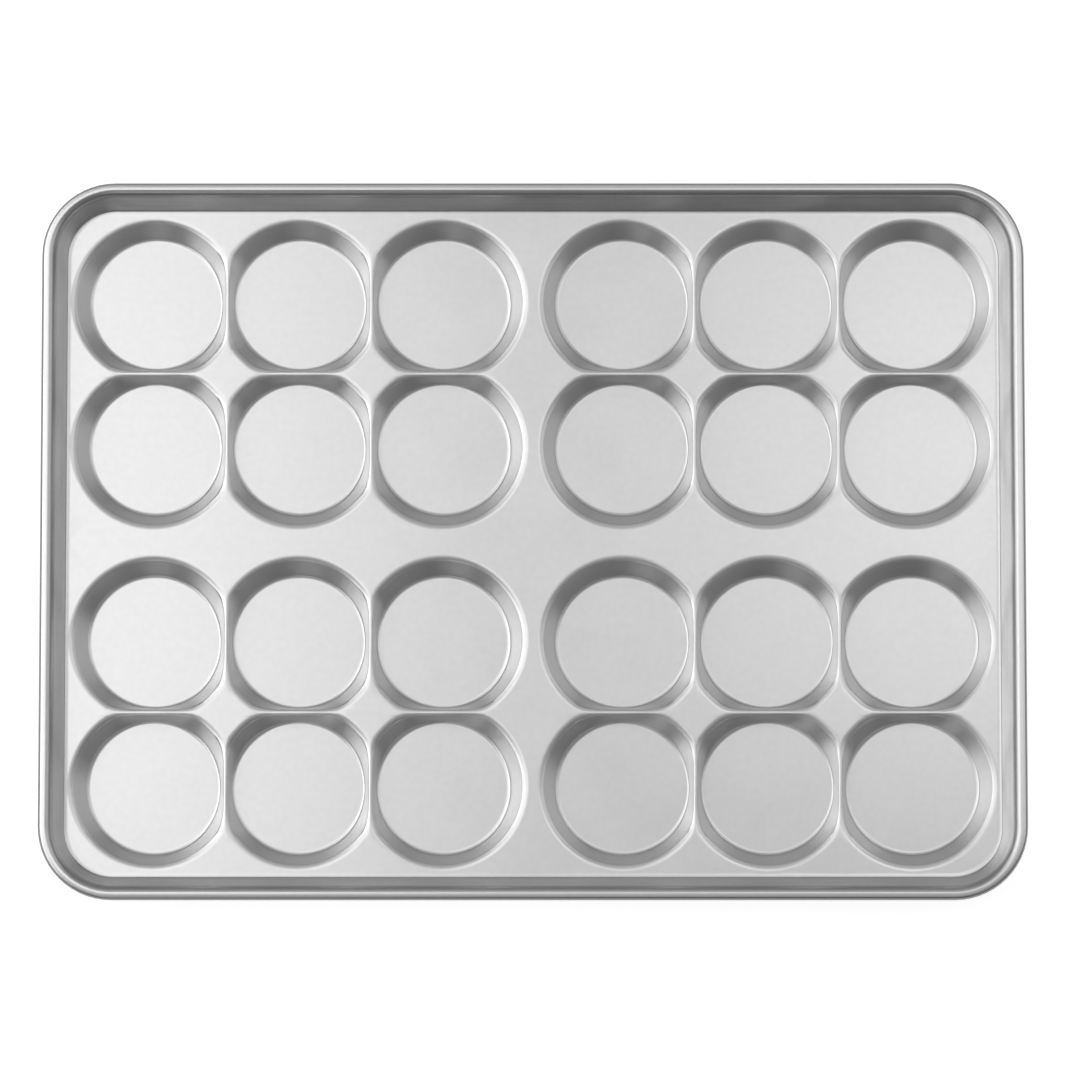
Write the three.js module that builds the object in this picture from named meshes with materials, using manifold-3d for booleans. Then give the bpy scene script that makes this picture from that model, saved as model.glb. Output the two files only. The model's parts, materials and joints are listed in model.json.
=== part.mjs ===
// Hamburger bun pan: one drawn sheet with round tapered cups, sloping walls and a rim rolled over a wire.
// Millimetres, Z up. The origin is the middle of the footprint, on the plane that the cup floors rest on.
// The sheet is split into a node for each cup and for each stretch of wall. These meet face to face.

import * as THREE from 'three';
import { mergeVertices } from 'three/addons/utils/BufferGeometryUtils.js';
import Module from 'manifold-3d';

const wasm = await Module();
wasm.setup();

// Sheet
const sheetThickness = 0.8;

// Cups: radii are those of the sharp edges that the rounds replace
const cupDepth = 17;
const cupFloorRadius = 42;
const cupMouthRadius = 51.8;
const floorFillet = 4;
const mouthFillet = 5;

// Layout: columns run along X and rows along Y, in four clusters
const columnCount = 6;
const rowCount = 4;
const columnPitch = 93.3;
const rowPitch = 94.6;
const middleStripX = 6.5;
const middleStripY = 16.4;
const endStripX = 1.25;
const endStripY = 3.3;

// Wall: leans out from its foot on the deck to the neck under the bead
const wallRun = 6.5;
const neckHeight = 14.7;
const footFillet = 1.5;
const footCornerRadius = 31.5;

// Rim: the sheet rolls outwards into a bead round a wire whose ends are butted
const beadRadius = 4.75;
const curlSweep = THREE.MathUtils.degToRad(320);
const wireClearance = 0.75;
const wireButtGap = 1;

// Facets
const cupSegments = 32;
const filletSteps = 2;
const cornerSegments = 8;
const curlSteps = 10;
const wireSides = 8;

// Levels, tangent lengths of the rounds, and the rounded mouth
const floorTop = sheetThickness;
const deckTop = floorTop + cupDepth;
const cupWallAngle = Math.atan2(cupMouthRadius - cupFloorRadius, cupDepth);
const wallAngle = Math.atan2(wallRun, neckHeight);
const floorTangent = floorFillet * Math.tan(Math.PI / 4 - cupWallAngle / 2);
const mouthTangent = mouthFillet * Math.tan(Math.PI / 4 - cupWallAngle / 2);
const footTangent = footFillet * Math.tan(Math.PI / 4 - wallAngle / 2);
const roundedMouthRadius = cupMouthRadius + mouthTangent;

// Cup axes, the flat deck around them and the foot of the wall
const columnPlaces = axisPlaces(columnCount, columnPitch, 2 * roundedMouthRadius + middleStripX);
const rowPlaces = axisPlaces(rowCount, rowPitch, 2 * roundedMouthRadius + middleStripY);
const deckHalfX = columnPlaces.at(-1) + roundedMouthRadius + endStripX;
const deckHalfY = rowPlaces.at(-1) + roundedMouthRadius + endStripY;
const footHalfX = deckHalfX + footTangent;
const footHalfY = deckHalfY + footTangent;
const cornerCentreX = footHalfX - footCornerRadius;
const cornerCentreY = footHalfY - footCornerRadius;

// Places of the axes along one direction, with a wider step in the middle
function axisPlaces(count, pitch, middleGap) {
  const half = count / 2;
  const places = [];
  for (let i = 0; i < half; i += 1) {
    const place = middleGap / 2 + i * pitch;
    places.unshift(-place);
    places.push(place);
  }
  return places;
}

// Points of a round in a section, from one angle to another
function arcPoints(centre, radius, from, to, steps) {
  const points = [];
  for (let i = 0; i <= steps; i += 1) {
    const angle = from + ((to - from) * i) / steps;
    const reach = new THREE.Vector2(Math.cos(angle), Math.sin(angle)).multiplyScalar(radius);
    points.push(reach.add(centre));
  }
  return points;
}

// Solid of a closed geometry: shared corners are merged and empty triangles dropped
function toSolid(geometry) {
  const bare = geometry.clone();
  bare.deleteAttribute('normal');
  bare.deleteAttribute('uv');
  const merged = mergeVertices(bare);
  const index = merged.index.array;
  const corners = [];
  for (let i = 0; i < index.length; i += 3) {
    const [a, b, c] = index.slice(i, i + 3);
    if (a !== b && b !== c && c !== a) {
      corners.push(a, b, c);
    }
  }
  const vertProperties = Float32Array.from(merged.attributes.position.array);
  const triVerts = Uint32Array.from(corners);
  return new wasm.Manifold(new wasm.Mesh({ numProp: 3, vertProperties, triVerts }));
}

// Geometry of a solid
function toGeometry(solid) {
  const { vertProperties, triVerts } = solid.getMesh();
  const geometry = new THREE.BufferGeometry();
  geometry.setAttribute('position', new THREE.BufferAttribute(vertProperties, 3));
  geometry.setIndex(new THREE.BufferAttribute(triVerts, 1));
  geometry.computeVertexNormals();
  return geometry;
}

// Solid turned from a closed section about the Z axis
function turnedSolid(section, segments) {
  return toSolid(new THREE.LatheGeometry(section, segments).rotateX(Math.PI / 2));
}

// Solid box between two corners
function boxSolid(low, high) {
  const size = high.clone().sub(low);
  const middle = low.clone().add(high).multiplyScalar(0.5);
  return toSolid(new THREE.BoxGeometry(size.x, size.y, size.z).translate(middle.x, middle.y, middle.z));
}

function sheetMaterial() {
  return new THREE.MeshStandardMaterial({ color: 0xc9cacd, metalness: 1, roughness: 0.3 });
}

function wireMaterial() {
  return new THREE.MeshStandardMaterial({ color: 0x8d9094, metalness: 1, roughness: 0.45 });
}

// Half section of a cup with the deck around it, from the axis along the underside and back along the top
function cupSection() {
  const floorCentre = new THREE.Vector2(cupFloorRadius - floorTangent, floorTop + floorFillet);
  const mouthCentre = new THREE.Vector2(roundedMouthRadius, deckTop - mouthFillet);
  const deckReach = deckHalfX + deckHalfY;
  const surface = (depth) => [
    new THREE.Vector2(0, floorTop - depth),
    ...arcPoints(floorCentre, floorFillet + depth, -Math.PI / 2, -cupWallAngle, filletSteps),
    ...arcPoints(mouthCentre, mouthFillet - depth, Math.PI - cupWallAngle, Math.PI / 2, filletSteps),
    new THREE.Vector2(deckReach, deckTop - depth),
  ];
  return [...surface(sheetThickness), ...surface(0).reverse()];
}

// Outline of the flat deck, up to where the rounded foot of the wall begins
function deckOutline() {
  const radius = footCornerRadius - footTangent;
  const outline = new THREE.Shape();
  outline.absarc(cornerCentreX, cornerCentreY, radius, 0, Math.PI / 2);
  outline.absarc(-cornerCentreX, cornerCentreY, radius, Math.PI / 2, Math.PI);
  outline.absarc(-cornerCentreX, -cornerCentreY, radius, Math.PI, 1.5 * Math.PI);
  outline.absarc(cornerCentreX, -cornerCentreY, radius, 1.5 * Math.PI, 2 * Math.PI);
  return outline;
}

// Limits of each cell along one direction: half way between axes, and past the deck at the ends
function cellLimits(places, deckHalf) {
  const limits = [-2 * deckHalf];
  for (let i = 1; i < places.length; i += 1) {
    limits.push((places[i - 1] + places[i]) / 2);
  }
  limits.push(2 * deckHalf);
  return limits;
}

// One node per cup: the cup and its share of the deck, cut straight where it meets its neighbours
function addCups(pan) {
  const cup = turnedSolid(cupSection(), cupSegments);
  const deckOptions = { depth: 2 * deckTop, bevelEnabled: false, curveSegments: cornerSegments / 2 };
  const deck = new THREE.ExtrudeGeometry(deckOutline(), deckOptions).translate(0, 0, -deckTop / 2);
  const limitsX = cellLimits(columnPlaces, deckHalfX);
  const limitsY = cellLimits(rowPlaces, deckHalfY);
  for (const [row, y] of rowPlaces.entries()) {
    for (const [column, x] of columnPlaces.entries()) {
      const low = new THREE.Vector3(limitsX[column] - x, limitsY[row] - y, -deckTop);
      const high = new THREE.Vector3(limitsX[column + 1] - x, limitsY[row + 1] - y, 2 * deckTop);
      const deckHere = toSolid(deck.clone().translate(-x, -y, 0));
      const solid = cup.intersect(boxSolid(low, high)).intersect(deckHere);
      const mesh = new THREE.Mesh(toGeometry(solid), sheetMaterial());
      mesh.name = `sheet_cup_r${rowCount - row}_c${column + 1}`;
      mesh.position.set(x, y, 0);
      pan.add(mesh);
    }
  }
}

// Section of the wall and its bead: X is outwards from the foot, Y is up from the deck
function wallSection() {
  const footCentre = new THREE.Vector2(-footTangent, footFillet);
  const beadCentre = new THREE.Vector2(wallRun + beadRadius, neckHeight);
  const surface = (depth) => {
    const curl = arcPoints(beadCentre, beadRadius - depth, Math.PI, Math.PI - curlSweep, curlSteps);
    return [
      ...arcPoints(footCentre, footFillet + depth, -Math.PI / 2, -wallAngle, filletSteps),
      new THREE.Vector2(wallRun + depth, neckHeight - depth * Math.tan(wallAngle / 2)),
      ...curl.slice(depth > 0 ? 0 : 1),
    ];
  };
  return [...surface(sheetThickness), ...surface(0).reverse()];
}

// One node per straight side, built facing +X and turned into place
function addSides(pan, section) {
  const sides = [
    ['right', footHalfX, 0, cornerCentreY],
    ['back', 0, footHalfY, cornerCentreX],
    ['left', -footHalfX, 0, cornerCentreY],
    ['front', 0, -footHalfY, cornerCentreX],
  ];
  for (const [turn, [name, x, y, halfLength]] of sides.entries()) {
    const options = { depth: 2 * halfLength, bevelEnabled: false };
    const geometry = new THREE.ExtrudeGeometry(new THREE.Shape(section), options);
    geometry.rotateX(Math.PI / 2).translate(0, halfLength, 0);
    const mesh = new THREE.Mesh(toGeometry(toSolid(geometry)), sheetMaterial());
    mesh.name = `sheet_wall_${name}`;
    mesh.position.set(x, y, deckTop);
    mesh.rotation.z = (turn * Math.PI) / 2;
    pan.add(mesh);
  }
}

// One node per corner, a quarter of a turned ring, built for +X +Y and turned into place
function addCorners(pan, section) {
  const ringSection = section.map((point) => new THREE.Vector2(footCornerRadius + point.x, point.y));
  ringSection.push(ringSection[0].clone());
  const ring = turnedSolid(ringSection, 4 * cornerSegments);
  const reach = 2 * (footCornerRadius + wallRun + 2 * beadRadius);
  const height = 2 * (neckHeight + beadRadius);
  const low = new THREE.Vector3(0, 0, -height);
  const high = new THREE.Vector3(reach, reach, height);
  const quarter = ring.intersect(boxSolid(low, high));
  const corners = [
    ['back_right', 1, 1],
    ['back_left', -1, 1],
    ['front_left', -1, -1],
    ['front_right', 1, -1],
  ];
  for (const [turn, [name, signX, signY]] of corners.entries()) {
    const mesh = new THREE.Mesh(toGeometry(quarter), sheetMaterial());
    mesh.name = `sheet_corner_${name}`;
    mesh.position.set(signX * cornerCentreX, signY * cornerCentreY, deckTop);
    mesh.rotation.z = (turn * Math.PI) / 2;
    pan.add(mesh);
  }
}

// Line of the wire: from the middle of the back, round the pan and back, with a station at each facet
class WireLine extends THREE.Curve {
  constructor() {
    super();
    const radius = footCornerRadius + wallRun + beadRadius;
    const level = deckTop + neckHeight;
    const back = cornerCentreY + radius;
    const along = new THREE.Vector3(-1, 0, 0);
    this.stations = [[new THREE.Vector3(-wireButtGap / 2, back, level), along]];
    for (let i = 0; i < 4 * (cornerSegments + 1); i += 1) {
      const quarter = Math.floor(i / (cornerSegments + 1));
      const step = i % (cornerSegments + 1);
      const angle = (Math.PI / 2) * (1 + quarter + step / cornerSegments);
      const signX = quarter === 0 || quarter === 1 ? -1 : 1;
      const signY = quarter === 0 || quarter === 3 ? 1 : -1;
      const x = signX * cornerCentreX + radius * Math.cos(angle);
      const y = signY * cornerCentreY + radius * Math.sin(angle);
      const tangent = new THREE.Vector3(-Math.sin(angle), Math.cos(angle), 0);
      this.stations.push([new THREE.Vector3(x, y, level), tangent]);
    }
    this.stations.push([new THREE.Vector3(wireButtGap / 2, back, level), along]);
  }

  stationAt(share) {
    return this.stations[Math.round(share * (this.stations.length - 1))];
  }

  getPointAt(share) {
    return this.stationAt(share)[0].clone();
  }

  getTangentAt(share) {
    return this.stationAt(share)[1].clone();
  }
}

// The wire inside the bead
function addWire(pan) {
  const radius = beadRadius - sheetThickness - wireClearance;
  const round = arcPoints(new THREE.Vector2(), radius, 0, 2 * Math.PI, wireSides);
  const section = new THREE.Shape(round.slice(1));
  const line = new WireLine();
  const options = { steps: line.stations.length - 1, extrudePath: line };
  const mesh = new THREE.Mesh(new THREE.ExtrudeGeometry(section, options), wireMaterial());
  mesh.name = 'rim_wire';
  pan.add(mesh);
}

const pan = new THREE.Group();
const section = wallSection();
addCups(pan);
addSides(pan, section);
addCorners(pan, section);
addWire(pan);

export default pan;
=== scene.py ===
import json
import math

import bpy
import numpy as np
from mathutils import Matrix, Vector


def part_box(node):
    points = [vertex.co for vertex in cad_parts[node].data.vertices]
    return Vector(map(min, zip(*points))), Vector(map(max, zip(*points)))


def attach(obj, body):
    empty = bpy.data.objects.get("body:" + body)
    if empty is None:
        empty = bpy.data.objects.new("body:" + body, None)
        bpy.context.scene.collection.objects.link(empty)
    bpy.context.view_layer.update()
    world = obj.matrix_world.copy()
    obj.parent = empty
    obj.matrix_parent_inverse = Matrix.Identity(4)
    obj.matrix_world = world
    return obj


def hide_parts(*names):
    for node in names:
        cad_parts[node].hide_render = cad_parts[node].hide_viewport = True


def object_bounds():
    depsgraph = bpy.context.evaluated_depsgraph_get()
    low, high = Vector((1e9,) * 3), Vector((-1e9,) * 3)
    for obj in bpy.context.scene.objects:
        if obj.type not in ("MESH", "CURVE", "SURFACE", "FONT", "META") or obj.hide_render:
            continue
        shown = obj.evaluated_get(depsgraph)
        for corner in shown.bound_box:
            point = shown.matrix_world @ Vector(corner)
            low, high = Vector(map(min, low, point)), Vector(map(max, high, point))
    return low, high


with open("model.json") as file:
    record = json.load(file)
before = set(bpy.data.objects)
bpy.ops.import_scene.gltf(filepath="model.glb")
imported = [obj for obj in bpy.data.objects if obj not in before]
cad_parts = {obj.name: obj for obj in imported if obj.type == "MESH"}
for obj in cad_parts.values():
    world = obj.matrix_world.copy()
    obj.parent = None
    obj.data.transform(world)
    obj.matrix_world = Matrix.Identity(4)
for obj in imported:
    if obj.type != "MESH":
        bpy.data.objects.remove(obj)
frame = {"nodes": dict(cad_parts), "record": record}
cad_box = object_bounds()

# Sheet in metres and radians: its thickness, the round at the wall's foot, how far the wall leans out, and how
# far the bead curls
SHEET = 0.0008
FOOT_ROUND = 0.0008
WALL_RUN = 0.0065
CURL_TURN = math.radians(320)

# Bead: how far its crest lies outside its axis, how far the sheet is tipped along its inner flank and along its
# top and outer side, the shoulder's round, the upward parts of the normal between which painted shade darkens
# its colour, and how much of that painted shade the flank takes
CREST_SHIFT = 0.0004
FLANK_TILTS = np.radians((0, 25, 25, 70))
TOP_TILTS = np.radians((0, 15, 70, 90))
SHOULDER_ROUND = 0.0022
PAINTED_SHADE_START = 0.92
PAINTED_SHADE_FULL = 0.78
FLANK_PAINTED_SHADE = 0.4

# Section of a cup, off a ridge and in the middle of one: the wall's steepness, the radius where the flat floor
# ends, and the wide and tight rounds at the floor and at the mouth, which meet where they have turned by KNEE
KNEE = math.radians(30)
FREE_SECTION = (math.radians(63.5), 0.0411, 0.0045, 0.0007, 0.0084, 0.001)
RIDGE_SECTION = (math.radians(81), 0.0415, 0.0022, 0.0007, 0.003, 0.001)

# Ridge between two cups: how far its top is rounded, half its length and a radius just inside it
RIDGE_BLEND = 0.0016
RIDGE_REACH = 0.031
RIDGE_RADIUS = 0.0465

# Edge of the deck, which curves up to the wall's foot: how wide that is and its round
EDGE_RUN = 0.0022
EDGE_ROUND = 0.0083

# Fineness of the mesh. A deck ring stands off the cell's edge by a part of the deck's width, or of the curved
# edge's where that is less. Heights SLOPE_STEP to each side give a slope, and points in one MERGE_STEP are one.
SIDE_STEPS = 18
ARC_STEPS = 14
FLOOR_SHARES = (0.5, 0.96, 1.0)
WIDE_STEPS = 4
TIGHT_STEPS = 2
WALL_STEPS = 2
DECK_RINGS = ((1, math.inf), (0.67, 1.3), (0.33, 0.6), (0, 0))
MOUTH_MOST = 0.9
SLOPE_STEP = 2e-5
FOOT_STEPS = 4
LEAN_STEPS = 2
FLANK_STEPS = 5
CREST_STEPS = 2
TOP_STEPS = 4
SHOULDER_STEPS = 3
OUTER_STEPS = 2
CURL_STEPS = 8
MERGE_STEP = 4e-6
MERGE_PHASE = 0.371

# Light: the surround's lowest brightness and its soft lobes (direction, narrowness, brightness)
SKY_LOW = 0.075
SKY_LOBES = (
    ((0, 0, 1), 6, 0.39),
    ((-0.78, 0, 0.62), 4, 0.2),
    ((0, 0.78, 0.62), 6, 0.4),
    ((0, -0.7, 0.71), 6, 0.035),
    ((0.62, -0.62, 0.47), 16, 0.13),
)

# Camera: where it looks, how far it tips from straight down, its distance and its lens
AIM_X = 0.00457
AIM_Y = 0.00165
TILT = math.radians(6.8)
DISTANCE = 4.7705
LENS_MM = 246.24
SENSOR_MM = 36.0


class Layout:
    """Places of the cups, the deck, the wall and the bead, from the frame."""

    def __init__(self):
        mounts = {mount["name"]: mount["pos_m"] for mount in frame["record"]["mounts"]}
        end_x, end_y = mounts["rest_back_right"][:2]
        low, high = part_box("sheet_cup_r1_c5")
        pitch_x = high.x - low.x
        pitch_y = 2 * (end_y - low.y)
        right = [end_x - 2 * pitch_x, end_x - pitch_x, end_x]
        back = [end_y - pitch_y, end_y]
        self.columns = [-x for x in reversed(right)] + right
        self.rows = [-y for y in reversed(back)] + back
        self.axes = np.array([(x, y) for y in self.rows for x in self.columns])
        # Cups one pitch apart meet in a ridge
        apart = self.axes[None, :, :] - self.axes[:, None, :]
        beside = np.abs(apart).sum(axis=2) < 1.05 * max(pitch_x, pitch_y)
        self.meets = np.array([[(beside & (sign * apart[:, :, axis] > 0.5 * pitch_x)).any(axis=1)
                                for sign in (-1, 1)] for axis in (0, 1)])
        self.floor_top = SHEET
        self.deck_top = high.z
        wire_low, wire_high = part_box("rim_wire")
        self.bead_level = (wire_low.z + wire_high.z) / 2
        outer = Vector(cad_box[1])
        self.bead_radius = outer.z - self.bead_level
        corner_low, corner_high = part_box("sheet_corner_back_right")
        reach = WALL_RUN + 2 * self.bead_radius
        self.foot_radius = corner_high.x - corner_low.x - reach
        self.corner_x = outer.x - reach - self.foot_radius
        self.corner_y = outer.y - reach - self.foot_radius
        self.lean = math.atan2(WALL_RUN, self.bead_level - self.deck_top)
        # The foot's round touches the end of the deck's curved edge and the wall's slope
        slope = EDGE_RUN / EDGE_ROUND
        self.edge_tilt = math.atan(slope)
        self.edge_rise = EDGE_RUN**2 / (2 * EDGE_ROUND)
        steepness = 1 / math.tan(self.lean)
        tangent = FOOT_ROUND * math.tan((math.pi / 2 - self.lean - self.edge_tilt) / 2)
        lead = (steepness - slope) * tangent * math.cos(self.edge_tilt)
        self.foot_tangent = (lead - self.edge_rise) / steepness
        self.deck_radius = self.foot_radius - self.foot_tangent
        self.deck_x = self.corner_x + self.deck_radius
        self.deck_y = self.corner_y + self.deck_radius


class Turn:
    """A flat that turns into a straight slope through a wide round and then a tight one."""

    def __init__(self, tilt, wide, tight):
        self.wide = wide
        self.tight = tight
        self.slope = np.tan(tilt)
        self.knee_run = wide * math.sin(KNEE)
        self.knee_rise = wide * (1 - math.cos(KNEE))
        self.run = self.knee_run + tight * (np.sin(tilt) - math.sin(KNEE))
        self.rise = self.knee_rise + tight * (math.cos(KNEE) - np.cos(tilt))

    def height(self, across):
        """Rise at a distance from the end of the flat."""
        on_wide = np.clip(across, 0, self.knee_run)
        wide = self.wide - np.sqrt(self.wide**2 - on_wide**2)
        on_tight = np.clip(across, self.knee_run, self.run) - self.knee_run + self.tight * math.sin(KNEE)
        tight = self.knee_rise + self.tight * math.cos(KNEE) - np.sqrt(self.tight**2 - on_tight**2)
        straight = self.rise + (across - self.run) * self.slope
        return np.where(across < self.knee_run, wide, np.where(across < self.run, tight, straight))

    def steps(self):
        """Distances from the end of the flat at which the mesh has rings."""
        wide = [self.knee_run * step / WIDE_STEPS for step in range(1, WIDE_STEPS + 1)]
        rest = self.run - self.knee_run
        return wide + [self.knee_run + rest * step / TIGHT_STEPS for step in range(1, TIGHT_STEPS + 1)]


class CupProfile:
    """Section of the top of the sheet through a cup's axis; ridge is 1 in a ridge's middle and 0 off it."""

    def __init__(self, layout, ridge):
        sizes = [free + (on_ridge - free) * ridge for free, on_ridge in zip(FREE_SECTION, RIDGE_SECTION)]
        tilt, self.floor_end, floor_wide, floor_tight, mouth_wide, mouth_tight = sizes
        self.floor = Turn(tilt, floor_wide, floor_tight)
        self.mouth = Turn(tilt, mouth_wide, mouth_tight)
        self.low = layout.floor_top
        self.high = layout.deck_top
        self.wall_start = self.floor_end + self.floor.run
        wall_rise = self.high - self.low - self.floor.rise - self.mouth.rise
        self.wall_end = self.wall_start + wall_rise / np.tan(tilt)
        self.mouth_end = self.wall_end + self.mouth.run

    def height(self, radius):
        lower = self.low + self.floor.height(radius - self.floor_end)
        upper = self.high - self.mouth.height(self.mouth_end - radius)
        return np.where(2 * radius < self.wall_start + self.wall_end, lower, upper)


def ridge_share(away, cup, layout):
    """1 beside the middle of a cup's ridge, falling to 0 at the ridge's ends, for places away from its axis."""
    near_middle = np.clip(1 - (away / RIDGE_REACH) ** 2, 0, None) ** 2
    side = (away > 0).astype(int)
    share = near_middle[:, 1] * layout.meets[0, side[:, 0], cup]
    share += near_middle[:, 0] * layout.meets[1, side[:, 1], cup]
    return np.minimum(share, 1)


def edge_lift(points, layout):
    """How far the deck rises towards the foot of the wall over plan points."""
    bounds = np.array([layout.corner_x, layout.corner_y])
    outside = np.linalg.norm(points - np.clip(points, -bounds, bounds), axis=1)
    return np.maximum(outside - layout.deck_radius + EDGE_RUN, 0) ** 2 / (2 * EDGE_ROUND)


def sheet_height(points, layout):
    """Height of the top of the cups and deck over plan points.

    Where two cups run into each other, their distances blend, so the ridge between them is round.
    """
    away = points[:, None, :] - layout.axes[None, :, :]
    distance = np.linalg.norm(away, axis=2)
    order = np.argsort(distance, axis=1)
    index = np.arange(len(points))
    cup = order[:, 0]
    near = distance[index, cup]
    other = distance[index, order[:, 1]]
    overlap = np.maximum(RIDGE_BLEND - (other - near), 0)
    radius = near - overlap**2 / (4 * RIDGE_BLEND)
    profile = CupProfile(layout, ridge_share(away[index, cup], cup, layout))
    return profile.height(radius) + edge_lift(points, layout)


def top_surface(points, layout):
    """Points of the top of the cups and deck over plan points, and their normals."""
    slopes = []
    for step in SLOPE_STEP * np.eye(2):
        rise = sheet_height(points + step, layout) - sheet_height(points - step, layout)
        slopes.append(rise / (2 * SLOPE_STEP))
    normals = np.column_stack([-slopes[0], -slopes[1], np.ones(len(points))])
    normals /= np.linalg.norm(normals, axis=1)[:, None]
    return np.column_stack([points, sheet_height(points, layout)]), normals


def even_angle_steps(low, high, centre, reach, steps):
    """Places along a side that are evenly spread in angle as seen from a cup's axis."""
    start = math.atan2(low - centre, reach)
    end = math.atan2(high - centre, reach)
    return centre + reach * np.tan(np.linspace(start, end, steps + 1))


def corner_arc(layout, quarter):
    """Points of one rounded corner of the deck, quarter 0 at the back right and on counterclockwise."""
    sign_x = (1, -1, -1, 1)[quarter]
    sign_y = (1, 1, -1, -1)[quarter]
    angles = (quarter + np.linspace(0, 1, ARC_STEPS + 1)) * math.pi / 2
    centre = np.array([sign_x * layout.corner_x, sign_y * layout.corner_y])
    return centre + layout.deck_radius * np.column_stack([np.cos(angles), np.sin(angles)])


def cell_limits(places, deck_half):
    middles = [(a + b) / 2 for a, b in zip(places, places[1:])]
    return [-deck_half] + middles + [deck_half]


def edge_sign(index, count):
    """-1 for the first place in a line, 1 for the last and 0 between."""
    return int(index == count - 1) - int(index == 0)


def with_edge_points(along, limit):
    """Adds points over the deck's curved edge to a cell's side that ends on the deck's limit."""
    near = EDGE_RUN * np.array([1, 0.5])
    if along[0] < -limit + MERGE_STEP:
        along = np.insert(along, 1, near[::-1] - limit)
    if along[-1] > limit - MERGE_STEP:
        along = np.insert(along, len(along) - 1, limit - near)
    return along


def cell_outline(layout, column, row):
    """Outline of the deck cell round one cup, counterclockwise, with points shared with its neighbours."""
    x, y = layout.columns[column], layout.rows[row]
    west, east = cell_limits(layout.columns, layout.deck_x)[column:column + 2]
    south, north = cell_limits(layout.rows, layout.deck_y)[row:row + 2]
    reach = (layout.columns[-1] - layout.columns[-2]) / 2
    edge_x = edge_sign(column, len(layout.columns))
    edge_y = edge_sign(row, len(layout.rows))
    corner = {(1, 1): 0, (-1, 1): 1, (-1, -1): 2, (1, -1): 3}.get((edge_x, edge_y))
    loop = []
    sides = ((east, south, north, y), (north, east, west, x), (west, north, south, y), (south, west, east, x))
    for side, (fixed, start, end, centre) in enumerate(sides):
        vertical = side in (0, 2)
        bound = layout.corner_y if vertical else layout.corner_x
        if corner in (side, (side - 1) % 4):
            start = min(max(start, -bound), bound)
            end = min(max(end, -bound), bound)
        along = even_angle_steps(min(start, end), max(start, end), centre, reach, SIDE_STEPS)
        along = with_edge_points(along, layout.deck_y if vertical else layout.deck_x)
        if start > end:
            along = along[::-1]
        across = np.full(len(along), fixed)
        points = np.column_stack((across, along) if vertical else (along, across))
        loop.append(points[:-1])
        if corner == side:
            loop.append(corner_arc(layout, corner)[:-1])
    return np.vstack(loop)


def ring_radii(reach, unit, cup, layout):
    """Distances of the rings along each ray of a cell, from the floor out to the cell's edge."""
    profile = CupProfile(layout, ridge_share(RIDGE_RADIUS * unit, cup, layout))
    rings = [part * profile.floor_end for part in FLOOR_SHARES]
    rings += [profile.floor_end + step for step in profile.floor.steps()]
    wall = profile.wall_end - profile.wall_start
    rings += [profile.wall_start + wall * step / WALL_STEPS for step in range(1, WALL_STEPS + 1)]
    shrink = np.minimum(MOUTH_MOST * (reach - profile.wall_end) / profile.mouth.run, 1)
    inner = reversed(profile.mouth.steps()[:-1])
    rings += [profile.wall_end + shrink * (profile.mouth.run - step) for step in inner]
    end = profile.wall_end + shrink * profile.mouth.run
    deck = reach - end
    rings += [reach - np.minimum(part * deck, edge_part * EDGE_RUN) for part, edge_part in DECK_RINGS]
    return np.array(rings)


def merge_keys(points):
    """Whole-number keys that are the same for points that coincide."""
    return np.floor(points / MERGE_STEP + MERGE_PHASE).astype(np.int64)


class SheetMesh:
    """Corners, faces and face normals gathered for the one sheet, top and underside together."""

    def __init__(self):
        self.points = []
        self.faces = []
        self.normals = []
        self.draws = []
        self.rims = []
        self.count = 0

    def add(self, points, faces, normals, draws, rims):
        """Faces index points; normals, draws and rims hold a row for each corner of each face."""
        self.points.append(points)
        self.faces += [tuple(self.count + corner for corner in face) for face in faces]
        self.normals.append(normals)
        self.draws.append(draws)
        self.rims.append(rims)
        self.count += len(points)

    def build(self, name):
        points = np.vstack(self.points)
        _, first, inverse = np.unique(merge_keys(points), axis=0, return_index=True, return_inverse=True)
        merged = inverse.reshape(-1).tolist()
        faces = [tuple(merged[corner] for corner in face) for face in self.faces]
        mesh = bpy.data.meshes.new(name)
        mesh.from_pydata(points[first].tolist(), [], faces)
        for attribute, rows in (("draw", self.draws), ("rim", self.rims)):
            layer = mesh.attributes.new(attribute, "FLOAT_VECTOR", "CORNER")
            layer.data.foreach_set("vector", np.vstack(rows).astype(np.float32).ravel())
        mesh.shade_smooth()
        mesh.normals_split_custom_set(np.vstack(self.normals).tolist())
        mesh.update()
        obj = bpy.data.objects.new(name, mesh)
        bpy.context.scene.collection.objects.link(obj)
        return obj


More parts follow.
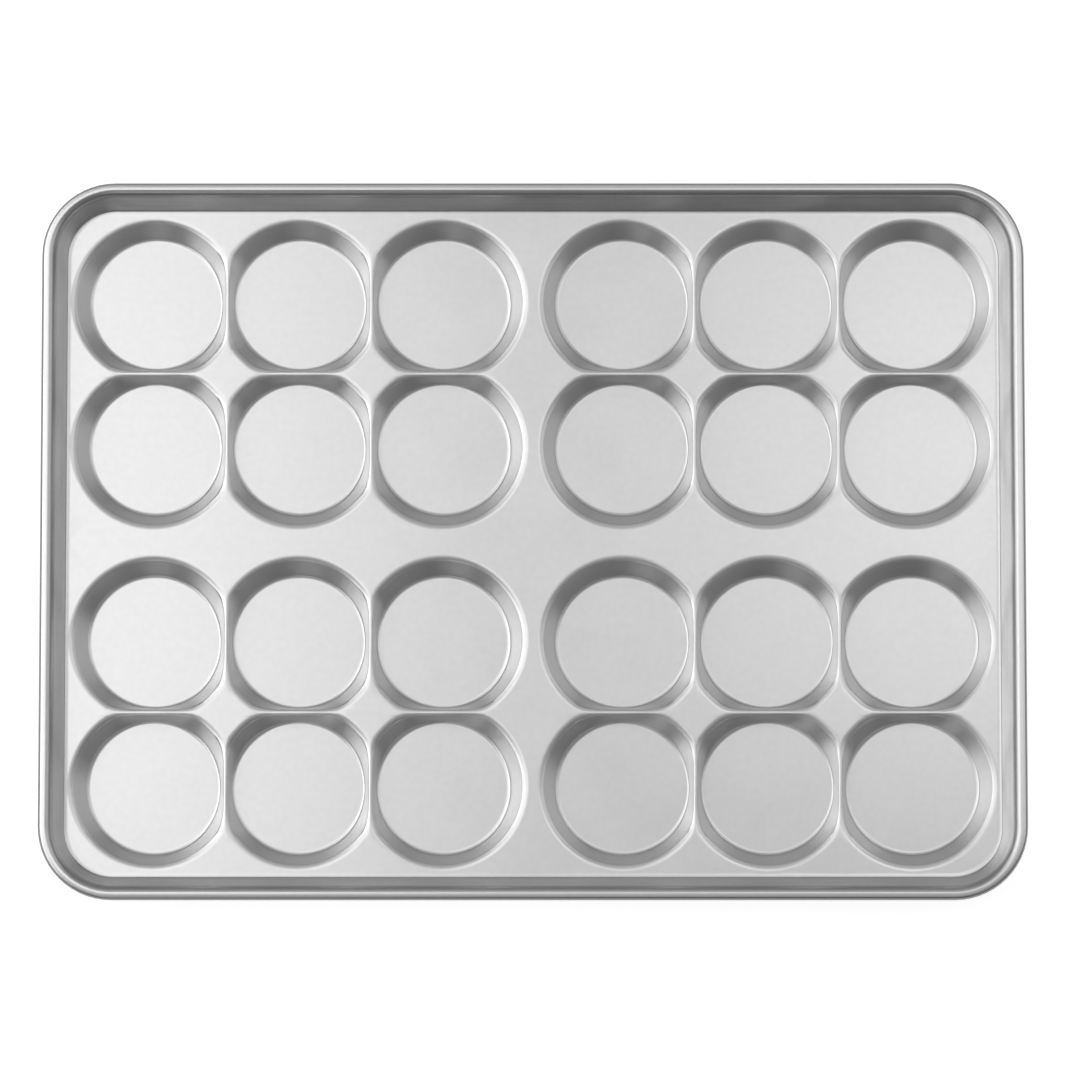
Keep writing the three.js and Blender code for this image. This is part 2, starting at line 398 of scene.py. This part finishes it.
def add_cell(sheet, layout, column, row):
    """The cup and its share of the deck, on rings of rays from the cup's axis."""
    axis = np.array([layout.columns[column], layout.rows[row]])
    outline = cell_outline(layout, column, row)
    reach = np.linalg.norm(outline - axis, axis=1)
    unit = (outline - axis) / reach[:, None]
    cup = np.full(len(outline), row * len(layout.columns) + column)
    radii = ring_radii(reach, unit, cup, layout)
    rays = len(outline)
    plan = [axis[None, :]]
    plan += [axis + ring[:, None] * unit for ring in radii[:-1]]
    plan.append(outline)
    plan = np.vstack(plan)
    top, normals = top_surface(plan, layout)
    faces = [(0, 1 + ray, 1 + (ray + 1) % rays) for ray in range(rays)]
    for ring in range(len(radii) - 1):
        inner = 1 + ring * rays
        outer = inner + rays
        for ray in range(rays):
            after = (ray + 1) % rays
            faces.append((inner + ray, outer + ray, outer + after, inner + after))
    draw = np.zeros((len(plan), 3))
    draw[1:, :2] = np.tile(unit, (len(radii), 1))
    draw[1:, 2] = np.linalg.norm(plan[1:] - axis, axis=1)
    for side in (1, -1):
        points = top if side == 1 else top - SHEET * normals
        turned = faces if side == 1 else [face[::-1] for face in faces]
        corners = np.concatenate(turned)
        sheet.add(points, turned, side * normals[corners], draw[corners], np.zeros((len(corners), 3)))


def arc(centre, radius, start, end, steps, inward):
    """Points of a round in the wall's section, and normals towards its centre or away from it."""
    angles = np.linspace(start, end, steps + 1)
    unit = np.column_stack([np.cos(angles), np.sin(angles)])
    return np.array(centre) + radius * unit, (-unit if inward else unit)


def straight(start, end, steps, normal):
    """Points of a straight run in the wall's section, and its normal at each."""
    share = np.linspace(0, 1, steps + 1)[:, None]
    return start + share * (end - start), np.tile(normal, (steps + 1, 1))


def quarter_radii(tilts, middle, across, down):
    """Radii of three rounds that follow each other through these tilts and go so far across and down."""
    run = np.diff(np.sin(tilts))
    drop = -np.diff(np.cos(tilts))
    rest = (across - middle * run[1], down - middle * drop[1])
    first, last = np.linalg.solve(((run[0], run[2]), (drop[0], drop[2])), rest)
    return first, middle, last


def rolled(start, angle, rounds):
    """Points and normals of rounds that run on smoothly, each with a radius, an end angle and steps."""
    points = [start]
    normals = [np.array([math.cos(angle), math.sin(angle)])]
    for radius, end, steps in rounds:
        centre = points[-1] - radius * normals[-1]
        for turn in np.linspace(angle, end, steps + 1)[1:]:
            normals.append(np.array([math.cos(turn), math.sin(turn)]))
            points.append(centre + radius * normals[-1])
        angle = end
    return np.array(points), np.array(normals)


def bead_section(neck, radius):
    """Outside of the rolled edge from the neck to the lip: flank, crest, top, shoulder, side and underside.

    Its points and normals come with marks, which are 1 on the bead and rise to 2 over the shoulder: the part
    above 1 is painted shade, darker where the normal turns away from up and weaker on the inner flank.
    """
    crest, _, flank = quarter_radii(FLANK_TILTS, 0, radius + CREST_SHIFT, radius)
    top, shoulder, side = quarter_radii(TOP_TILTS, SHOULDER_ROUND, radius - CREST_SHIFT, radius)
    up = math.pi / 2
    rounds = (
        (flank, up + FLANK_TILTS[1], FLANK_STEPS),
        (crest, up, CREST_STEPS),
        (top, up - TOP_TILTS[1], TOP_STEPS),
        (shoulder, up - TOP_TILTS[2], SHOULDER_STEPS),
        (side, 0, OUTER_STEPS),
        (radius, math.pi - CURL_TURN, CURL_STEPS),
    )
    points, normals = rolled(neck, up + FLANK_TILTS[3], rounds)
    # Painted shade: the bead's colour darkens as its normal turns away from up, less so on the inner flank
    painted_shade = np.clip((PAINTED_SHADE_START - normals[:, 1]) / (PAINTED_SHADE_START - PAINTED_SHADE_FULL), 0, 1)
    painted_shade[:FLANK_STEPS + CREST_STEPS] *= FLANK_PAINTED_SHADE
    return points, normals, 1 + painted_shade


def wall_section(layout):
    """Runs of the wall's and bead's section, each with points, normals and marks, which are 0 off the bead, 1 on
    it and above 1 where painted shade darkens the bead.

    The first number of a point is how far it lies outside the foot of the wall, the second its height.
    """
    edge = np.array([-layout.foot_tangent, layout.deck_top + layout.edge_rise])
    foot = edge + FOOT_ROUND * np.array([-math.sin(layout.edge_tilt), math.cos(layout.edge_tilt)])
    low = layout.edge_tilt - math.pi / 2
    neck = np.array([WALL_RUN, layout.bead_level])
    inside = np.array([-math.cos(layout.lean), math.sin(layout.lean)])
    last = math.pi - CURL_TURN
    lip = np.array([math.sin(last), -math.cos(last)])
    top_foot = arc(foot, FOOT_ROUND, low, -layout.lean, FOOT_STEPS, True)
    outside = bead_section(neck, layout.bead_radius)
    flank = outside[1][0]
    under_neck = neck - SHEET * (inside + flank) / (1 + inside @ flank)
    lining = (outside[0] - SHEET * outside[1])[::-2]
    lining[-1] = under_neck
    inner_normals = -outside[1][::-2]
    under_foot = arc(foot, FOOT_ROUND + SHEET, -layout.lean, low, FOOT_STEPS, False)
    runs = [
        top_foot,
        straight(top_foot[0][-1], neck, LEAN_STEPS, inside),
        outside,
        straight(outside[0][-1], lining[0], 1, lip),
        (lining, inner_normals),
        straight(under_neck, under_foot[0][0], LEAN_STEPS, -inside),
        under_foot,
    ]
    return [run if len(run) == 3 else (*run, np.zeros(len(run[0]))) for run in runs]


def rim_stations(layout):
    """Stations round the wall, counterclockwise: base point, outward direction, distance, corner or not.

    They stand where the deck cells have points on the deck's edge.
    """
    cells = [(column, row) for column in range(len(layout.columns)) for row in range(len(layout.rows))]
    points = np.vstack([cell_outline(layout, column, row) for column, row in cells])
    bounds = np.array([layout.corner_x, layout.corner_y])
    base = np.clip(points, -bounds, bounds)
    away = np.linalg.norm(points - base, axis=1)
    on_edge = np.abs(away - layout.deck_radius) < MERGE_STEP
    points, base = points[on_edge], base[on_edge]
    _, first = np.unique(merge_keys(points), axis=0, return_index=True)
    points, base = points[first], base[first]
    order = np.argsort(np.arctan2(points[:, 1], points[:, 0]))
    points, base = points[order], base[order]
    outward = (points - base) / layout.deck_radius
    step = np.linalg.norm(np.roll(points, -1, axis=0) - points, axis=1)
    distance = np.concatenate([[0], np.cumsum(step)])
    corner = (np.abs(outward).max(axis=1) < 1 - 1e-9).astype(float)
    return base, outward, distance, corner


def add_rim(sheet, layout):
    """The wall and the rolled bead all the way round, with the sheet's inside and outside."""
    base, outward, distance, corner = rim_stations(layout)
    count = len(base)
    here = np.arange(count)
    after = (here + 1) % count
    for section, section_normals, marks in wall_section(layout):
        width = len(section)
        reach = layout.foot_radius + section[:, 0]
        plan = base[:, None, :] + outward[:, None, :] * reach[None, :, None]
        height = np.broadcast_to(section[:, 1], (count, width))
        points = np.dstack([plan, height]).reshape(-1, 3)
        across = outward[:, None, :] * section_normals[None, :, 0, None]
        rise = np.broadcast_to(section_normals[:, 1], (count, width))
        normals = np.dstack([across, rise]).reshape(-1, 3)
        faces = []
        rims = []
        for station, following in zip(here, after):
            for place in range(width - 1):
                near, far = station * width + place, following * width + place
                faces.append((near, near + 1, far + 1, far))
                start = (distance[station], corner[station])
                end = (distance[station + 1], corner[following])
                # A mark is 0 off the bead and 1 on it; its part above 1 is painted shade
                mark, next_mark = marks[place], marks[place + 1]
                rims += [(*start, mark), (*start, next_mark), (*end, next_mark), (*end, mark)]
        corners = np.concatenate(faces)
        sheet.add(points, faces, normals[corners], np.zeros((len(corners), 3)), np.array(rims))


def make_sheet(layout):
    sheet = SheetMesh()
    for row in range(len(layout.rows)):
        for column in range(len(layout.columns)):
            add_cell(sheet, layout, column, row)
    add_rim(sheet, layout)
    return sheet.build("pan_sheet")


class Nodes:
    """Short calls that add nodes to one material or world and join them."""

    def __init__(self, tree):
        self.tree = tree
        self.tree.nodes.clear()

    def add(self, kind, inputs=None, **settings):
        node = self.tree.nodes.new(kind)
        for name, value in settings.items():
            setattr(node, name, value)
        for name, value in (inputs or {}).items():
            self.put(node.inputs[name], value)
        return node

    def put(self, socket, value):
        if isinstance(value, bpy.types.NodeSocket):
            self.tree.links.new(value, socket)
        else:
            socket.default_value = value

    def math(self, operation, first, second=0.0):
        node = self.add("ShaderNodeMath", operation=operation)
        self.put(node.inputs[0], first)
        self.put(node.inputs[1], second)
        return node.outputs[0]

    def scaled(self, value, low, high, to_low, to_high):
        """A value from one range put into another, held at its ends."""
        names = ("Value", "From Min", "From Max", "To Min", "To Max")
        node = self.add("ShaderNodeMapRange", dict(zip(names, (value, low, high, to_low, to_high))))
        return node.outputs[0]

    def noise(self, vector, scale, detail, stretch=None):
        if stretch:
            mapping = self.add("ShaderNodeMapping", {"Vector": vector, "Scale": stretch})
            vector = mapping.outputs[0]
        return self.add("ShaderNodeTexNoise", {"Vector": vector, "Scale": scale, "Detail": detail}).outputs[0]

    def mixed(self, share, first, second):
        node = self.add("ShaderNodeMix", data_type="RGBA")
        self.put(node.inputs[0], share)
        self.put(node.inputs[6], first)
        self.put(node.inputs[7], second)
        return node.outputs[2]


def new_material(name):
    material = bpy.data.materials.new(name)
    material.use_nodes = True
    return material, Nodes(material.node_tree)


def sheet_material():
    """Satin aluminised steel with faint mottling.

    It has draw lines up the cups, streaks along the wall, wrinkles on the corners' bead and painted shade on the
    bead's outer side and inner flank, darker where the bead turns away from up.
    """
    material, nodes = new_material("aluminised_sheet")
    place = nodes.add("ShaderNodeTexCoord").outputs["Object"]
    level = nodes.add("ShaderNodeSeparateXYZ", {"Vector": place}).outputs["Z"]
    normal = nodes.add("ShaderNodeNewGeometry").outputs["Normal"]
    upright = nodes.add("ShaderNodeSeparateXYZ", {"Vector": normal}).outputs["Z"]
    steep = nodes.scaled(nodes.math("ABSOLUTE", upright), 0.95, 0.6, 0.0, 1.0)
    draw = nodes.add("ShaderNodeAttribute", attribute_name="draw").outputs["Vector"]
    rim = nodes.add("ShaderNodeAttribute", attribute_name="rim").outputs["Vector"]
    rim_parts = nodes.add("ShaderNodeSeparateXYZ", {"Vector": rim}).outputs
    on_bead = nodes.math("MINIMUM", rim_parts[2], 1.0)
    # Painted shade on the bead: the mark's part above 1, larger where the bead turns away from up
    edge = nodes.math("MAXIMUM", nodes.math("SUBTRACT", rim_parts[2], 1.0), 0.0)
    mottle = nodes.noise(place, 26.0, 1.0)
    fine = nodes.noise(place, 240.0, 0.0)
    lines = nodes.math("MULTIPLY", nodes.noise(draw, 1.0, 2.0, (85, 85, 12)), steep)
    along_rim = nodes.add("ShaderNodeCombineXYZ", {"X": rim_parts[0], "Z": level}).outputs[0]
    on_wall = nodes.math("MULTIPLY", nodes.math("GREATER_THAN", rim_parts[0], 0.0), steep)
    on_wall = nodes.math("MULTIPLY", on_wall, nodes.math("SUBTRACT", 1.0, on_bead))
    streaks = nodes.scaled(nodes.noise(along_rim, 1.0, 2.0, (9, 1, 700)), 0.3, 0.7, 0.02, 0.18)
    rim_line = nodes.add("ShaderNodeCombineXYZ", {"X": rim_parts[0]}).outputs[0]
    on_corner = nodes.math("MULTIPLY", rim_parts[1], on_bead)
    pucker = nodes.math("MULTIPLY", nodes.noise(rim_line, 900.0, 1.0), on_corner)
    height = nodes.math("MULTIPLY", mottle, 1.5e-6)
    for value, size in ((lines, 8e-7), (pucker, 9e-5)):
        height = nodes.math("ADD", height, nodes.math("MULTIPLY", value, size))
    bump = nodes.add("ShaderNodeBump", {"Strength": 1.0, "Distance": 1.0, "Height": height}).outputs[0]
    tone = nodes.math("ADD", nodes.math("MULTIPLY", mottle, 0.6), nodes.math("MULTIPLY", fine, 0.4))
    colour = nodes.mixed(nodes.scaled(tone, 0.1, 0.9, 0, 1), (0.7, 0.699, 0.7, 1), (0.784, 0.783, 0.784, 1))
    # Random streaks on the wall plus the painted shade on the bead, both pulling the colour towards one dark
    # grey
    streaks_and_painted_shade = nodes.math("ADD", nodes.math("MULTIPLY", on_wall, streaks), edge)
    colour = nodes.mixed(streaks_and_painted_shade, colour, (0.24, 0.24, 0.245, 1))
    rough = nodes.scaled(mottle, 0.3, 0.7, 0.285, 0.315)
    rough = nodes.math("ADD", rough, nodes.math("MULTIPLY", lines, 0.05))
    rough = nodes.math("ADD", rough, nodes.math("MULTIPLY", steep, 0.03))
    shader = nodes.add("ShaderNodeBsdfPrincipled", {
        "Base Color": colour, "Metallic": 1.0, "Roughness": rough, "Normal": bump,
    })
    nodes.add("ShaderNodeOutputMaterial", {"Surface": shader.outputs[0]})
    return material


def wire_material():
    """Plain drawn steel rod: darker than the sheet, with fine marks and faint stains."""
    material, nodes = new_material("drawn_rod")
    place = nodes.add("ShaderNodeTexCoord").outputs["Object"]
    marks = nodes.noise(place, 900.0, 3.0)
    stain = nodes.noise(place, 60.0, 4.0)
    height = nodes.math("MULTIPLY", marks, 8e-6)
    bump = nodes.add("ShaderNodeBump", {"Strength": 1.0, "Distance": 1.0, "Height": height}).outputs[0]
    colour = nodes.mixed(nodes.scaled(stain, 0.35, 0.65, 0, 1), (0.42, 0.42, 0.43, 1), (0.58, 0.58, 0.585, 1))
    rough = nodes.scaled(marks, 0.3, 0.7, 0.34, 0.5)
    shader = nodes.add("ShaderNodeBsdfPrincipled", {
        "Base Color": colour, "Metallic": 1.0, "Roughness": rough, "Normal": bump,
    })
    nodes.add("ShaderNodeOutputMaterial", {"Surface": shader.outputs[0]})
    return material


def floor_material():
    """Pale sweep: the camera and reflections see it near white, and it keeps the shadow."""
    material, nodes = new_material("pale_floor")
    path = nodes.add("ShaderNodeLightPath").outputs
    seen = nodes.math("MAXIMUM", path["Is Camera Ray"], path["Is Glossy Ray"])
    seen = nodes.math("MAXIMUM", seen, path["Is Transmission Ray"])
    glow = nodes.add("ShaderNodeEmission", {"Strength": nodes.math("MULTIPLY", seen, 0.8)})
    matt = nodes.add("ShaderNodeBsdfDiffuse", {"Color": (0.5, 0.5, 0.5, 1)})
    both = nodes.add("ShaderNodeAddShader")
    nodes.put(both.inputs[0], glow.outputs[0])
    nodes.put(both.inputs[1], matt.outputs[0])
    nodes.add("ShaderNodeOutputMaterial", {"Surface": both.outputs[0]})
    return material


def add_floor():
    mesh = bpy.data.meshes.new("floor")
    half = 15
    corners = [(-half, -half, 0), (half, -half, 0), (half, half, 0), (-half, half, 0)]
    mesh.from_pydata(corners, [], [(0, 1, 2, 3)])
    floor = bpy.data.objects.new("floor", mesh)
    bpy.context.scene.collection.objects.link(floor)
    mesh.materials.append(floor_material())


def add_softbox(name, place, size, brightness, lean=0.0):
    """A soft rectangular lamp that faces down, or leans to the left or right."""
    light = bpy.data.lights.new(name, "AREA")
    light.shape = "RECTANGLE"
    light.size, light.size_y = size
    light.energy = brightness * math.pi * size[0] * size[1]
    lamp = bpy.data.objects.new(name, light)
    bpy.context.scene.collection.objects.link(lamp)
    lamp.location = place
    lamp.rotation_euler = (0, lean, 0)


def add_world():
    """Soft surround: brightest overhead and behind, weaker on the left and low at the front right, else dim."""
    world = bpy.data.worlds.new("studio")
    bpy.context.scene.world = world
    world.use_nodes = True
    nodes = Nodes(world.node_tree)
    direction = nodes.add("ShaderNodeTexCoord").outputs["Generated"]
    level = SKY_LOW
    for towards, narrowness, strength in SKY_LOBES:
        along = nodes.add("ShaderNodeVectorMath", operation="DOT_PRODUCT")
        nodes.put(along.inputs[0], direction)
        nodes.put(along.inputs[1], Vector(towards).normalized())
        lobe = nodes.math("POWER", nodes.math("MAXIMUM", along.outputs["Value"], 0.0), narrowness)
        level = nodes.math("ADD", nodes.math("MULTIPLY", lobe, strength), level)
    glow = nodes.add("ShaderNodeBackground", {"Color": (0.99, 0.99, 1, 1), "Strength": level})
    nodes.add("ShaderNodeOutputWorld", {"Surface": glow.outputs[0]})


def add_camera(layout):
    towards = Vector((0, math.sin(TILT), -math.cos(TILT)))
    up = Vector((0, math.cos(TILT), math.sin(TILT)))
    data = bpy.data.cameras.new("camera")
    data.sensor_width = SENSOR_MM
    data.lens = LENS_MM
    camera = bpy.data.objects.new("camera", data)
    bpy.context.scene.collection.objects.link(camera)
    aim = Vector((AIM_X, AIM_Y, layout.deck_top))
    turn = Matrix((towards.cross(up), up, -towards)).transposed()
    camera.matrix_world = Matrix.Translation(aim - DISTANCE * towards) @ turn.to_4x4()
    bpy.context.scene.camera = camera


def add_lights():
    add_softbox("overhead_left", (-1.05, 0.25, 1.7), (1.85, 1.2), 0.87)
    add_softbox("overhead_right", (0.66, 0.31, 1.7), (1.0, 0.64), 0.84)
    add_softbox("side_left", (-1.15, -0.06, 0.8), (0.75, 1.72), 1.26, -math.radians(55))
    add_softbox("side_right", (1.15, 0.25, 0.8), (0.75, 1.25), 0.7, math.radians(55))
    add_softbox("back_left", (-1.15, 1.2, 1.15), (0.6, 0.6), 1.2, -math.radians(45))
    add_softbox("back_right", (1.05, 1.05, 1.0), (0.45, 0.5), 0.78, math.radians(45))
    add_softbox("front_left", (-0.4, -1.35, 1.0), (0.5, 0.5), 1.1)


layout = Layout()
add_camera(layout)
add_floor()
add_world()
add_lights()

pan = make_sheet(layout)
pan.data.materials.append(sheet_material())
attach(pan, "root")
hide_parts(*[name for name in sorted(frame["nodes"]) if name.startswith("sheet_")])

wire = frame["nodes"]["rim_wire"]
wire.data.materials.clear()
wire.data.materials.append(wire_material())

bpy.context.scene.view_settings.view_transform = "Standard"
